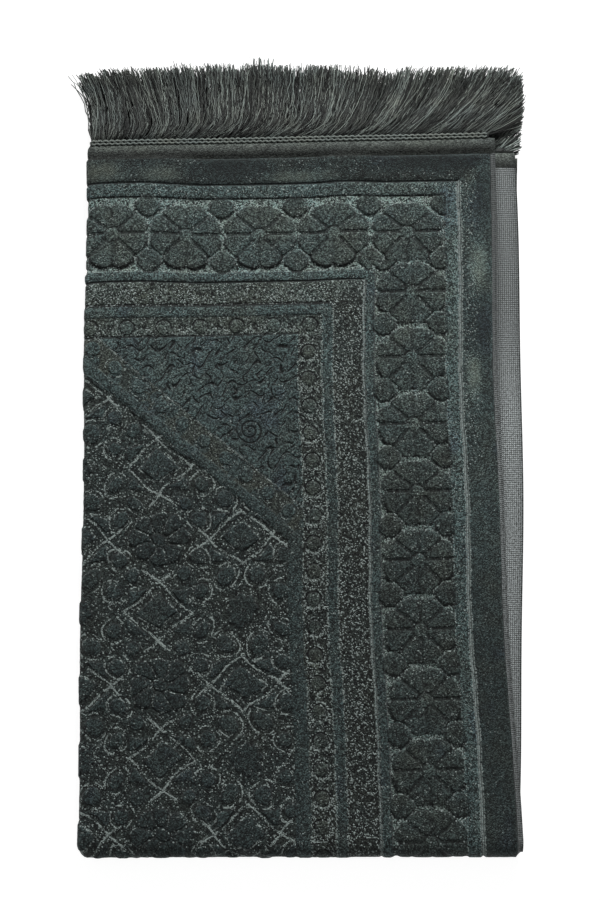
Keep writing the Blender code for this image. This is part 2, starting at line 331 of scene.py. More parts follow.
CELL = (67.2, 58.6)                     # half a repeat of the lattice
CELL_START = 272.0
LOZENGE_HALF = (27.1, 22.4)
LOZENGE_MM = 17.0                       # from its middle square to a side, for the widths of lines
HEART = (0.56, 0.64)                    # the lozenge inside it, against the lozenge: edge from and to
LOZENGE_SHADE = (0.86, 1.5, 0.35)       # dark line inside it: place against it, half width, darkness
LEAF_BOX = (25.5, 18.6, 6.6)            # reach across, reach along and start along
FLOWER_HALF, FLOWER_MM = (23.6, 21.6), 23.0
FLOWER_DISC = ((0.19, 0.27), (0.27, 0.35))      # edge of its disc, and start of its petals
FLOWER_CELL, FLOWER_CELL_MM = (41.0, 36.0), 19.0    # the larger lozenge round a flower
STAR = (3.5, 9.0, 10.4)                 # length of its points, and its soft edge between them
# Domes in the lattice and a broken ring round each: across and along from the corner of the cell, radius
# of dome and ring, and which way the ring's gaps lie.
CELL_RINGS = ((31.6, 14.9, 5.8, 9.6, 0.2), (34.4, 42.6, 6.2, 9.6, -0.4), (13.2, 28.0, 7.2, 10.6, 0.1))
CELL_DOT = (46.9, 30.5, 5.8)            # a dome without a ring
LATTICE_TUFTS = 0.065                   # more pale tufts between the figures


def darkened(tone, *parts):
    for part, name in parts:
        tone = tone * (1.0 - part * DARKER[name])
    return tone


def carved(level, *parts):
    for part, name in parts:
        level = level - part * DEEPER[name]
    return level


def rosette(x, y):
    """An eight-petalled rosette in a unit circle: how raised it is, its carved lines, its rim with painted
    shadow, and radius.
    """
    r = distance(x, y)
    turn = work("ARCTAN2", y, x)
    notch = 1.0 - size_of(work("SINE", turn * 4.0))
    past = r - 1.0 + notch * notch * ROSETTE_NOTCH
    rays = size_of(spaced(turn, math.pi / 4, 0.0)) * r * ROSETTE_MM
    # Rays lying across the light are carved deeper and darkened more than those along it: partly painted
    # shade.
    rays = fall(rays, 0.6, 2.0) * rise(r, ROSETTE_DISC, ROSETTE_DISC + 0.05) \
        * (0.6 + 0.4 * size_of(x) / most(r, 0.05))
    ring = line((r - ROSETTE_DISC) * ROSETTE_MM, 1.1) * fall(y, -0.05, 0.15)
    # The rim is a faint dark outline all round, and a painted shadow along its lower side, away from the
    # light.
    rim = line((past + 0.01) * ROSETTE_MM, 1.7) * (0.15 + 0.85 * rise(y, -0.1, 0.6))
    return fall(past, -0.05, 0.03), most(rays, ring), rim, r


def flower(x, y):
    """Eight round petals about a disc, in a unit circle."""
    r = distance(x, y)
    turn = work("ARCTAN2", y, x)
    edge = 0.89 + 0.14 * size_of(work("COSINE", turn * 4.0))
    gaps = size_of(spaced(turn, math.pi / 4, math.pi / 8)) * r * FLOWER_MM
    disc, petals_from = FLOWER_DISC
    petals = fall(r - edge, -0.06, 0.06) * rise(gaps, 0.2, 1.5) * rise(r, *petals_from)
    return most(petals, fall(r, *disc))


def border_bands(nest, side_run):
    """Pile level, tone, pale tufts and olive of the nested bands."""
    totals = BANDS[0][2:]
    for before, (_, start, *values) in zip(BANDS, BANDS[1:]):
        step = rise(nest, start - BAND_STEP_HALF, start + BAND_STEP_HALF)
        totals = [work("MULTIPLY_ADD", step, value - last, total)
                  for value, last, total in zip(values, before[2:], totals)]
    level, side_tone, end_tone, pale, olive = totals
    return level, blend(side_run, end_tone, side_tone), pale, olive


def sprigs(a, along):
    """Carved and darkened in the spandrel: broken, wavy lines that stand for the shaded lower edges of
    leaves and flowers, as painted shade, and one swirl.
    """
    breaks = work("SINE", a * 0.43 + along * 0.23) + work("SINE", along * 0.51 - a * 0.27 + 2.0)
    marks = []
    for ((across, down), *bends), shown in zip(SPRIGS, (rise(breaks, -0.5, 0.4), fall(breaks, -0.9, 0.0))):
        turn = a * across + along * down
        for across_bend, down_bend, size in bends:
            turn = turn + work("SINE", a * across_bend + along * down_bend + size) * size
        off = spaced(turn, math.tau, 0.0) * (1.0 / max(across, down))
        marks.append(line(off, 1.0) * shown)
    middle_across, middle_along, radius, pitch = SWIRL
    r = distance(a - middle_across, along - middle_along)
    swirl = work("ARCTAN2", along - middle_along, a - middle_across)
    swirl = line(spaced(r - swirl * (pitch / math.tau), pitch, 0.0), 0.85) * 0.8
    return blend(fall(r, radius, radius + 1.0), most(*marks), swirl)


def cell_place(a, along):
    """A place in one quarter of the lattice's repeat, mirrored all over, with a little waver."""
    x = work("PINGPONG", a + work("SINE", along * 0.19 + a * 0.05) * 1.3, CELL[0])
    y = work("PINGPONG", along - CELL_START + work("SINE", a * 0.17 - along * 0.06) * 1.5, CELL[1])
    return x, y, CELL[0] - x, CELL[1] - y


def leaf(to_side, to_end, out):
    """A leaf between a lozenge's side and its neighbours."""
    reach_across, reach_along, start = LEAF_BOX
    return rise(out, 1.10, 1.20) * fall(to_side, reach_across - 1.0, reach_across) \
        * fall(to_end, reach_along - 1.0, reach_along) * rise(to_end, start, start + 1.0)


def lattice_figures(a, along):
    """The lattice: how raised its figures are, its pale lines with painted highlights, its blooms, and the
    painted shade round figures.
    """
    breaks = work("SINE", a * 0.41 - along * 0.23) + work("SINE", along * 0.47 + a * 0.19 + 1.0)
    x, y, far_x, far_y = cell_place(a, along)
    half_across, half_along = LOZENGE_HALF
    first = far_x / half_across + y / half_along
    second = x / half_across + far_y / half_along
    n = least(first, second)

    # figures
    bloom = flower(far_x / FLOWER_HALF[0], far_y / FLOWER_HALF[1])
    point, *star_edge = STAR
    star = fall(distance(x, y) - point * size_of(work("COSINE", work("ARCTAN2", y, x) * 4.0)), *star_edge)
    dot_x, dot_y, dot = CELL_DOT
    domes = [fall(distance(x - dot_x, y - dot_y), dot - 0.9, dot + 0.3)]
    rings = []
    for ring_x, ring_y, dome, ring, way in CELL_RINGS:
        r = distance(x - ring_x, y - ring_y)
        domes.append(fall(r, dome - 0.8, dome + 0.5))
        gaps = work("SINE", (x - ring_x) * 0.5 + (y - ring_y) * way)
        rings.append(line(r - ring, 0.75) * rise(gaps, -0.8, 0.0))
    raised = most(fall(n, *HEART), bloom, star, *domes, leaf(far_x, y, first), leaf(x, far_y, second))
    contour = raised * (1.0 - raised)

    # lines: each lozenge, the larger one round a flower, their corners, and the hearts' rims
    corner = least(distance(x - (CELL[0] - half_across), y), distance(far_x, y - half_along),
                   distance(x - half_across, far_y), distance(x, far_y - half_along))
    outline = line((n - 1.0) * LOZENGE_MM, 0.9) * (1.0 - rise(corner, 4.0, 15.0, 0.35)) \
        * rise(breaks, -2.2, -0.8)
    larger = far_x / FLOWER_CELL[0] + far_y / FLOWER_CELL[1]
    larger = line((larger - 1.0) * FLOWER_CELL_MM, 0.7) * rise(n, 1.0, 1.05) * fall(corner, 9.0, 20.0)
    rim = line((n - HEART[1]) * LOZENGE_MM, 0.8) * rise(breaks, -0.6, 0.6) * 0.5
    # Figure edges turn pale in some stretches and dark in others, by the breaks: painted highlights and
    # painted shade.
    pale = most(outline, larger, fall(corner, 0.6, 3.4) * 0.5, most(*rings) * 0.85, rim,
                contour * rise(breaks, -1.0, 0.8) * 1.2)
    shade_place, shade_half, darkness = LOZENGE_SHADE
    shade = line((n - shade_place) * LOZENGE_MM, shade_half) * rise(breaks, -1.4, 0.4) * darkness
    shade = most(shade, contour * fall(breaks, -0.8, 1.0) * 2.6)
    return raised, pale, most(bloom, star), shade


def brushed(across, along, patches):
    """Soft round patches, 1 in their middles."""
    return most(*(fall(distance((across - place) / half_across, (along - from_end) / half_along), 0.1, 1.0)
                  for place, from_end, half_across, half_along in patches))


def outer_band(across, along, nest, side_run, tone, pale, olive):
    """Where the outer band is brushed up, with painted sheen, and brushed down, with painted shade, and its
    pale flecks.
    """
    outer = fall(nest, *BRUSHED_EDGE)
    up = brushed(across, along, BRUSHED_UP_LIT) * outer
    down = brushed(across, along, BRUSHED_DOWN_SHADED) * outer
    inwards, until, share = FLECKS
    # Brushed patches are lighter and darker by how they face the light: painted sheen and painted shade.
    tone = darkened(tone, (up, "brushed up"), (down, "brushed down"))
    pale = pale + rise(nest, *inwards) * outer * side_run * fall(along, *until) * share
    olive = olive + up * BRUSHED_OLIVE[0] - down * BRUSHED_OLIVE[1]
    sleek = most(outer * side_run * SLEEK[0], up * SLEEK[1], down * SLEEK[2])
    return tone, pale, olive, sleek


def rosette_border(a, along, end, nest, level, tone, pale):
    """Rosettes, and the buds between them."""
    at_end = most(fall(end, *ROSETTE_ENDS[0]), fall(a, *ROSETTE_ENDS[1]))
    pitch, first, middle = ROSETTE_ROW
    side_pitch, side_first, side_middle = ROSETTE_SIDE
    x = blend(at_end, a - side_middle, spaced(a, pitch, first))
    y = blend(at_end, spaced(along, side_pitch, side_first), end - middle)
    half, up, down = ROSETTE_HALF
    body, rays, rim, r = rosette(x / half, least(y / up, y / down))
    x = blend(at_end, size_of(a - side_middle) - BUD_OFF, spaced(a, pitch, first + pitch / 2))
    y = blend(at_end, spaced(along, side_pitch, side_first + side_pitch / 2),
              size_of(end - middle) - BUD_OFF)
    below = y * blend(at_end, 1.0, rise(end - middle, -1.0, 1.0, 2.0) - 1.0)
    x, y = size_of(x) / BUD_HALF[0], size_of(y) / BUD_HALF[1]
    reach = most(x, y, (x + y) / BUD_CORNER)
    near_bud = within(nest, *BUD_ZONE)
    bud = fall(reach, 0.88, 1.0) * near_bud
    # The moat is deeper and darker below the bud, on its side away from the light: painted shade in a carved
    # groove.
    moat = line(reach * 10.0 - 10.2, 1.2) * near_bud * (0.25 + 0.75 * rise(below, 0.0, 5.0))
    clear = within(nest, *ROSETTE_ZONE) * rise(reach, 1.06, 1.16)
    body, rays, rim = body * clear, rays * body * clear, rim * clear
    crown, drop = ROSETTE_CROWN
    ground = BANDS[4][2]
    level = level + body * (crown - drop * r * r) + bud * (BUD_HEIGHT - (level - ground) * 0.9)
    level = carved(level, (rays, "ray"), (moat, "bud moat"))
    tone = darkened(tone, (body, "rosette"), (bud, "bud"), (rays, "ray"), (rim, "rosette rim"),
                    (moat, "bud moat"), (fall(reach, 0.15, 0.55) * near_bud, "bud middle"),
                    (fall(r, 0.12, 0.22) * clear, "rosette disc"))
    return level, tone, pale * (1.0 - most(body, bud) * 0.8)


def bead_row(a, along, end, nest, level, tone, pale):
    """Beads, each in a carved ring, with a small cross between them."""
    at_end = fall(end, *BEAD_END)
    pitch, first, middle = BEAD_ROW
    side_pitch, side_first, side_middle = BEAD_SIDE
    x = blend(at_end, a - side_middle, spaced(a, pitch, first))
    y = blend(at_end, spaced(along, side_pitch, side_first), end - middle)
    row = within(nest, *BEAD_ZONE)
    r = distance(x, y)
    above = fall(y, -2.0, 3.5)
    bead = fall(r, BEAD_RADIUS - 0.7, BEAD_RADIUS + 0.2) * row
    moat = line(r - BEAD_RADIUS - 0.8, 0.8) * row
    x = blend(at_end, a - side_middle, spaced(a, pitch, first + pitch / 2))
    y = blend(at_end, spaced(along, side_pitch, side_first + side_pitch / 2), end - middle)
    x, y = size_of(size_of(x) - CROSS_SPREAD * (1.0 - at_end)), size_of(y)
    cross = fall(least(x, y), 0.6, 1.7) * fall(most(x, y), 2.0, 3.6) * row
    side = most(*(line(nest - place, half) for place, half in BEAD_SHADED)) * (1.0 - at_end) * (1.0 - bead)
    level = carved(level, (bead, "bead"), (moat, "bead moat"), (cross, "cross"))
    # The bead's moat is darkened only above the bead, where its wall faces away from the light: painted
    # shade.
    tone = darkened(tone, (side, "bead row side"), (bead, "bead"), (moat * above, "bead moat"),
                    (cross, "cross"))
    # Pale tufts below each bead, where the moat's lower wall faces the light: painted highlight.
    pale = pale * (1.0 - bead * 0.5) + row * (1.0 - bead) * (1.0 - above) * 0.15
    ring_off, ring_half = BEAD_RING
    pale = pale + line(r - BEAD_RADIUS - ring_off, ring_half) * row * (1.0 - at_end) * 0.24
    return level, tone, pale


def niche_field(a, along, nest, level, tone, pale, olive):
    """The niche: spandrel, dotted slope, bar and lattice."""
    field = rise(nest, *FIELD_EDGE)
    line_edge, bar_edge, lattice_edge = NICHE_EDGES
    slope_length = math.hypot(1.0, NICHE_SLOPE)
    w = (along - NICHE_TIP - NICHE_SLOPE * a) / slope_length
    down = (a + NICHE_SLOPE * (along - NICHE_TIP)) / slope_length
    down = down + slope_between(down, *NICHE_OPENS, soft=False)
    inner = least(w - lattice_edge, NICHE_SIDES[1] - a)
    lattice = rise(inner, *NICHE_SOFT) * field
    bar = rise(least(w - bar_edge, NICHE_SIDES[0] - a), *NICHE_SOFT) * field - lattice
    slope = rise(w - line_edge, *NICHE_SOFT) * field - lattice - bar
    spandrel = field - lattice - bar - slope

    r = distance(w, spaced(down, *NICHE_DOTS))
    dots = fall(r, *NICHE_DOT_EDGE) * slope
    ring, ring_half = NICHE_DOT_RING
    level = carved(level, (slope - dots, "slope"))
    pale = most(pale, line(w - line_edge, 0.75) * field * fall(inner, -7.0, -5.0) * 0.75,
                line(r - ring, ring_half) * slope * 0.25)
    tone = darkened(tone, (bar, "bar"), (slope - dots, "slope"))

    marks = sprigs(a, along) * spandrel
    level = carved(level, (marks, "sprig"))
    tone = darkened(tone, (marks, "sprig"))

    raised, net, blooms, shade = lattice_figures(a, along)
    sunk = rise(inner, -3.0, 2.0) * field
    level = carved(level, (sunk, "lattice"), (lattice * raised, "lattice figure"),
                   (lattice * net, "lattice line"))
    tone = tone * (1.0 - lattice * shade) * (1.0 - lattice * (
        DARKER["lattice"] + raised * DARKER["lattice figure"] + blooms * DARKER["lattice bloom"]))
    pale = most(pale, net * lattice * 0.85) + lattice * (1.0 - raised) * LATTICE_TUFTS
    olive = most(olive, (lattice * 0.5 + slope) * (1.0 - most(raised, dots)))
    return level, tone, pale, olive


def nested(across, along):
    """Where a place lies in the frame of bands: both distances with the weave's own waver, then its
    distance from the nearer end, its band measure and whether it runs along a side."""
    a = size_of(across)
    sway = SWAY
    for middle, flat_half, whole_half, size in SWAYS:
        sway = sway + fall(size_of(a - middle), flat_half, whole_half) * size
    along = along - sway * fall(along, *SWAY_FADES)
    for size, length, start in SIDE_WAVERS:
        across = across + work("SINE", along * (math.tau / length) + start) * size
    along = along + slope_between(along, *TAKE_UP, soft=False)
    end = least(along, PATTERN_MM - along)
    nest = end - (END_BANDS[0][0] - END_BANDS[0][1])
    for (start, as_side), (stop, next_side) in zip(END_BANDS, END_BANDS[1:]):
        nest = nest + slope_between(end, start, stop, (next_side - as_side) - (stop - start), soft=False)
    from_side = HALF_MM - size_of(across)
    return across, along, end, least(from_side, nest), fall(from_side - nest, -1.0, 1.0)


def chart(across, along, zones=("border", "field")):
    """The carved pattern: pile level in millimetres, tone with painted shade, pale tufts with painted
    glints, olive, sleek, and runs along a side.

    Rosettes and the outer band are in the border zone; beads and all inside them are in the field."""
    across, along, end, nest, side_run = nested(across, along)
    a = size_of(across)
    level, tone, pale, olive = border_bands(nest, side_run)
    tone = tone * (1.0 - rise(along, *PAINTED_SHADE_INSIDE) * rise(nest, *INSIDE_EDGE) * PAINTED_SHADE_DARKER[0])
    tone = tone * (1.0 - rise(along, *PAINTED_SHADE_OUTER) * fall(nest, *OUTER_EDGE) * PAINTED_SHADE_DARKER[1])
    for place, end_half, dark, side_half, light in BAND_LINES:
        # Painted shade in the grooves across the ends, and painted highlights along the sides.
        groove_shade_across_end = line(nest - place, end_half) * (1.0 - side_run) * dark
        glint_along_side = line(nest - place, side_half) * side_run * light
        level = carved(level, (groove_shade_across_end, "band line"))
        tone = tone * (1.0 - groove_shade_across_end) * (1.0 + glint_along_side * 0.5)
        pale = most(pale, glint_along_side)
    place, half_width = SPECKLED_EDGE_SHADE
    tone = darkened(tone, (line(nest - place, half_width) * side_run, "speckled edge"))

    sleek = nest * 0.0      # only the outer band lies sleek
    if "border" in zones:
        tone, pale, olive, sleek = outer_band(across, along, nest, side_run, tone, pale, olive)
        level, tone, pale = rosette_border(a, along, end, nest, level, tone, pale)
    if "field" in zones:
        level, tone, pale = bead_row(a, along, end, nest, level, tone, pale)
        level, tone, pale, olive = niche_field(a, along, nest, level, tone, pale, olive)
    return level, tone, pale, olive, sleek, side_run


# ---- rug cloth: its mesh -----------------------------------------------------------------------
# A woven ground with cut polyester pile, bare selvedges down both sides and a turned, flat-woven hem
# at each end. The mesh is worked flat, closed with a back, and then folded.
FINE, COARSE_ACROSS, COARSE_ALONG = 0.00182, 0.0120, 0.0085      # steps of the mesh
FINE_FROM, FINE_TO = -0.022, 0.612      # fine pile across from here, and along to here
BACK_STEP = 0.030
SIDE_CUTS, END_CUTS = 4, 8              # of the back, from the middle of a fold to its edge
HEM, SELVEDGE = 0.0130, 0.0040          # how wide they are
HEM_HEIGHT, HEM_CROWN = 0.0042, 0.0008
SELVEDGE_HEIGHT = GROUND + 0.0003
PILE_STRAY = 0.00008
BORDER, FIELD, WOVEN, TURNED = range(4)     # the cloth's materials
ZONE_EDGE = 125.0           # the band measure where the border's material gives way to the field's


def stepped(low, high, turn, coarse, fine, edges):
    """Places of a row of lines: the second stretch finer than the first, with a line at each edge."""
    places = np.concatenate([np.linspace(low, turn, coarse + 1), np.linspace(turn, high, fine + 1)[1:]])
    for edge in edges:
        places[np.argmin(abs(places - edge))] = edge
    return places


def pile_height(u, v):
    """Height of the cloth's face over its woven back, as an average over a mesh square."""
    shifts = [(i * FINE / 3, j * FINE / 3) for i in (-1, 0, 1) for j in (-1, 0, 1)]
    level = sum(chart((u + i) * 1000, (v + j) * 1000)[0] for i, j in shifts) / len(shifts)
    from_end = np.minimum(v, LENGTH - v)
    crown = np.sqrt(np.clip(1 - (2 * from_end / HEM - 1) ** 2, 0.0, 1.0))
    height = np.where(from_end < HEM, HEM_HEIGHT - HEM_CROWN + 2 * HEM_CROWN * crown, CLOTH + level / 1000)
    bare = WIDTH / 2 - abs(u) < SELVEDGE
    return np.where(bare, SELVEDGE_HEIGHT, np.minimum(height, CLOTH))


def flat_cloth():
    """The closed flat sheet: a fine grid for the face, walls, and a back cut along the folds."""
    across_fine = round((WIDTH / 2 - FINE_FROM) / FINE)
    across_coarse = round((WIDTH / 2 + FINE_FROM) / COARSE_ACROSS)
    along_fine = round(FINE_TO / FINE)
    along_coarse = round((LENGTH - FINE_TO) / COARSE_ALONG)
    columns, rows = across_fine + across_coarse, along_fine + along_coarse
    across = stepped(-WIDTH / 2, WIDTH / 2, FINE_FROM, across_coarse, across_fine,
                     (WIDTH / 2 - SELVEDGE, SELVEDGE - WIDTH / 2))
    along = stepped(LENGTH, 0.0, FINE_TO, along_coarse, along_fine, (HEM, LENGTH - HEM))[::-1]
    bm = bmesh.new()
    bmesh.ops.create_grid(bm, x_segments=columns, y_segments=rows, size=0.5)
    for vert in bm.verts:
        vert.co = (across[round((vert.co.x + 0.5) * columns)], along[round((vert.co.y + 0.5) * rows)], 1)
    rim = [edge for edge in bm.edges if edge.is_boundary]
    for item in bmesh.ops.extrude_edge_only(bm, edges=rim)["geom"]:
        if isinstance(item, bmesh.types.BMVert):
            item.co.z = 0.0
    lower_rim = [edge for edge in bm.edges if edge.is_boundary]
    back = bmesh.ops.contextual_create(bm, geom=lower_rim)["faces"]
    centre = Vector((0.0, LENGTH / 2, 0.0))
    side_way = Vector((math.cos(SKEW), math.sin(SKEW), 0.0))
    end_way = Vector((-math.sin(SKEW), math.cos(SKEW), 0.0))
    cuts = [(centre + side_way * SIDE_TURN * step / SIDE_CUTS, side_way)
            for step in range(-SIDE_CUTS, SIDE_CUTS + 1)]
    cuts += [(centre + end_way * END_TURN * step / END_CUTS, end_way)
             for step in range(-END_CUTS, END_CUTS + 1)]
    cuts += [(Vector((place, 0, 0)), Vector((1, 0, 0))) for place in
             np.arange(BACK_STEP - WIDTH / 2, WIDTH / 2 - BACK_STEP / 2, BACK_STEP)]
    cuts += [(Vector((0, place, 0)), Vector((0, 1, 0))) for place in
             [HEM, *np.arange(BACK_STEP, LENGTH - BACK_STEP / 2, BACK_STEP), LENGTH - HEM]]
    pieces = list(back)
    for point, normal in cuts:
        parts = dict.fromkeys(part for face in pieces for part in (*face.verts, *face.edges, face))
        bmesh.ops.bisect_plane(bm, geom=list(parts), dist=1e-7, plane_co=point, plane_no=normal)
        pieces = [face for face in bm.faces if all(vert.co.z < 0.5 for vert in face.verts)]
    bmesh.ops.triangulate(bm, faces=[face for face in bm.faces if len(face.verts) > 4])
    return bm


def finishes_of(mesh):
    """Which of the cloth's materials each flat face has."""
    u, v, upper = np.array([face.center for face in mesh.polygons]).T
    field = nested(u * 1000, v * 1000)[3] > ZONE_EDGE
    bare = (upper < 0.99) | (WIDTH / 2 - abs(u) < SELVEDGE)
    finish = np.where(bare, WOVEN, np.where(field, FIELD, BORDER))
    return np.where(np.minimum(v, LENGTH - v) < HEM, TURNED, finish)


def lay_out(mesh, heights):
    """Folds a flat mesh whose z is 1 on the cloth's face and 0 on its back, and keeps its flat place."""
    flat = np.empty(len(mesh.vertices) * 3)
    mesh.vertices.foreach_get("co", flat)
    u, v, upper = flat.reshape(-1, 3).T
    h = np.where(upper > 0.5, heights(u, v), 0.0)
    mesh.vertices.foreach_set("co", (np.stack(folded(u, v, h), axis=1) + centring).ravel())
    keep = mesh.attributes.new("flat", "FLOAT_VECTOR", "POINT")
    keep.data.foreach_set("vector", np.stack([u, v, h], axis=1).ravel())
    mesh.update()


def mesh_from(name, bm):
    mesh = bpy.data.meshes.new(name)
    bm.to_mesh(mesh)
    bm.free()
    return mesh


def linked(name, data):
    thing = bpy.data.objects.new(name, data)
    bpy.context.scene.collection.objects.link(thing)
    return thing


def new_piece(name, mesh, slot, *materials):
    piece = linked(name, mesh)
    for material in materials:
        mesh.materials.append(material)
    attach(piece, "root")
    return piece


# ---- rug cloth: its finish ---------------------------------------------------------------------
# Grey-green polyester plush: each tuft's tone differs at random, the gaps between tufts are painted shade,
# the deep pile is a little olive, and pale tufts gather along the carved lines as painted glints. Back and
# hem are bare weave of the same yarn.
TUFTS = 1150.0              # to the metre
PILE_COLOUR = (0.0365, 0.0545, 0.0535)
OLIVE_COLOUR = (0.043, 0.051, 0.042)
NAVY_COLOUR = (0.035, 0.050, 0.058)
PALE_TUFT_AND_GLINT = (0.222, 0.262, 0.250)
SHEEN_TINT = (0.75, 0.82, 0.83)
# Blotches in the pile: how many to the metre, and how much they vary its lightness.
CLUMPS, WEAR, STREAKS = (210.0, 0.30), (17.0, 0.48), (170.0, 0.56)
STREAK_STRETCH = 0.12
HUES, COOLS = 38.0, 24.0                # blotches of olive and of navy, to the metre
NAVY_EDGE = (0.55, 0.78)                # how cool a place is where it turns navy
PICKED_EDGE = (0.97, 1.05)              # tufts whose chance passes this are pale
TUFT_SPREAD, TUFT_MEAN = 2.7, 0.9       # how much single tufts differ, and the middle of that
BUMP_LEVEL, BUMP_TUFT, BUMP_GAP = 1.6, 0.3, 0.5

WEAVE_DARK, WEAVE_PALE = (0.040, 0.043, 0.041), (0.230, 0.250, 0.252)
WEAVE_PITCH, CORD_PITCH = 1.65, 1.7     # millimetres, of the back's threads and the selvedge's cords
CORDS_END = (4.2, 5.2)                  # how far the cords reach in from the side
WEAVE_LIT = ((1.0, 9.0), (13.0, 26.0))  # the back is brightest between these, in from the side,
WEAVE_LIT_ALONG = ((120.0, 240.0), (330.0, 480.0, 0.4))     # and along the rug, where it fades by 0.4

HEM_COLOURS = (0.036, 0.042, 0.041), (0.047, 0.053, 0.045)
# Painted light and shade on the rounded hem: bright at its outer edge, and shaded from there inwards.
HEM_PAINTED_SHADE = (1.5, 10.0)               # from here to here, in from the end


def new_finish(name, roughness, specular=0.2):
    material = bpy.data.materials.new(name)
    material.use_nodes = True
    shader = material.node_tree.nodes["Principled BSDF"]
    shader.inputs["Roughness"].default_value = roughness
    shader.inputs["Specular IOR Level"].default_value = specular
    return material, material.node_tree, shader


def attribute(tree, name, output):
    node = tree.nodes.new("ShaderNodeAttribute")
    node.attribute_name = name
    return node.outputs[output]


def flat_place(tree, flat):
    """Millimetres across the rug and along it."""
    split = tree.nodes.new("ShaderNodeSeparateXYZ")
    tree.links.new(flat, split.inputs[0])
    return [Reading(tree, split.outputs[axis]) * 1000.0 for axis in "XY"]


def noise(tree, vector, scale, detail=2.0, stretch=(1, 1, 1)):
    mapping = tree.nodes.new("ShaderNodeMapping")
    mapping.inputs["Scale"].default_value = stretch
    tree.links.new(vector, mapping.inputs["Vector"])
    node = tree.nodes.new("ShaderNodeTexNoise")
    for name, number in (("Scale", scale), ("Detail", detail), ("Roughness", 0.6)):
        node.inputs[name].default_value = number
    tree.links.new(mapping.outputs["Vector"], node.inputs["Vector"])
    return Reading(tree, node.outputs["Fac"])


def varied(part, amount):
    """About 1, and more or less by a noise."""
    return part * amount + (1.0 - amount / 2)


def cells(tree, vector, scale):
    """Small round cells: distance from each one's middle, and two numbers of its own."""
    node = tree.nodes.new("ShaderNodeTexVoronoi")
    node.voronoi_dimensions = "2D"
    node.inputs["Scale"].default_value = scale
    tree.links.new(vector, node.inputs["Vector"])
    split = tree.nodes.new("ShaderNodeSeparateColor")
    tree.links.new(node.outputs["Color"], split.inputs["Color"])
    return tuple(Reading(tree, socket) for socket in
                 (node.outputs["Distance"], split.outputs["Red"], split.outputs["Green"]))


def pattern_group(zone):
    """One zone of the carved pattern as a node group."""
    group = bpy.data.node_groups.new("carved " + zone, "ShaderNodeTree")
    group.interface.new_socket("Flat", in_out="INPUT", socket_type="NodeSocketVector")
    names = ("Level", "Tone", "Pale tufts", "Olive", "Sleek", "Side run")
    for name in names:
        group.interface.new_socket(name, in_out="OUTPUT", socket_type="NodeSocketFloat")
    inward = group.nodes.new("NodeGroupInput")
    outward = group.nodes.new("NodeGroupOutput")
    across, along = flat_place(group, inward.outputs["Flat"])
    for name, value in zip(names, chart(across, along, (zone,))):
        group.links.new(value.socket, outward.inputs[name])
    return group


def mixed(tree, part, off, on):
    """A colour between two, by a reading. Each colour is a socket or three numbers."""
    node = tree.nodes.new("ShaderNodeMix")
    node.data_type = "RGBA"
    node.clamp_factor = True
    tree.links.new(part.socket, node.inputs["Factor"])
    for socket, colour in ((node.inputs["A"], off), (node.inputs["B"], on)):
        if isinstance(colour, tuple):
            socket.default_value = (*colour, 1.0)
        else:
            tree.links.new(colour, socket)
    return node.outputs["Result"]


def toned(tree, colour, factor):
    node = tree.nodes.new("ShaderNodeVectorMath")
    node.operation = "SCALE"
    tree.links.new(colour, node.inputs[0])
    tree.links.new(factor.socket, node.inputs["Scale"])
    return node.outputs["Vector"]


def bumped(tree, shader, height_mm):
    node = tree.nodes.new("ShaderNodeBump")
    node.inputs["Distance"].default_value = 0.001
    tree.links.new(height_mm.socket, node.inputs["Height"])
    tree.links.new(node.outputs["Normal"], shader.inputs["Normal"])


def pile_material(zone):
    material, tree, shader = new_finish("plush " + zone, 0.85)
    flat = attribute(tree, "flat", "Vector")
    group = tree.nodes.new("ShaderNodeGroup")
    group.node_tree = pattern_group(zone)
    tree.links.new(flat, group.inputs["Flat"])
    level, tone, pale, olive, sleek, side_run = (Reading(tree, socket) for socket in group.outputs)
    off, lightness, chance = cells(tree, flat, TUFTS)
    clumps = noise(tree, flat, CLUMPS[0])
    worn = noise(tree, flat, WEAR[0], detail=3.0)
    hue = noise(tree, flat, HUES, detail=3.0)
    cool = noise(tree, flat, COOLS, stretch=(1.4, 1.0, 1.0))
    streaks = blend(side_run, noise(tree, flat, STREAKS[0], stretch=(STREAK_STRETCH, 1.0, 1.0)),
                    noise(tree, flat, STREAKS[0], stretch=(1.0, STREAK_STRETCH, 1.0)))
    spread = (lightness * lightness * TUFT_SPREAD - TUFT_MEAN) * (1.0 - sleek)
    # Tufts darken towards their edges: painted shade in the gaps between them.
    shade = tone * most(1.0 + spread * least(0.88 + pale * 1.3, 1.25), 0.06) * (1.40 - off * 1.2)
    for blotches, (_, amount) in ((clumps, CLUMPS), (worn, WEAR), (streaks, STREAKS)):
        shade = shade * varied(blotches, amount)
    colour = mixed(tree, least(olive * 0.8 + (hue - 0.5) * 1.8, 1.0), PILE_COLOUR, OLIVE_COLOUR)
    colour = mixed(tree, rise(cool - olive * 0.15, *NAVY_EDGE), colour, NAVY_COLOUR)
    colour = toned(tree, colour, shade)
    # Pale tufts: a few at random, and many along the carved lines as painted glints.
    picked = rise(chance + pale * 0.94 * varied(clumps, 1.3) - sleek * 0.12, *PICKED_EDGE)
    colour = mixed(tree, picked * (0.35 + lightness * 0.65), colour, PALE_TUFT_AND_GLINT)
    tree.links.new(colour, shader.inputs["Base Color"])
    shader.inputs["Sheen Weight"].default_value = 0.06
    shader.inputs["Sheen Roughness"].default_value = 0.5
    shader.inputs["Sheen Tint"].default_value = (*SHEEN_TINT, 1.0)
    bumped(tree, shader, level * BUMP_LEVEL + lightness * BUMP_TUFT - off * BUMP_GAP)
    return material


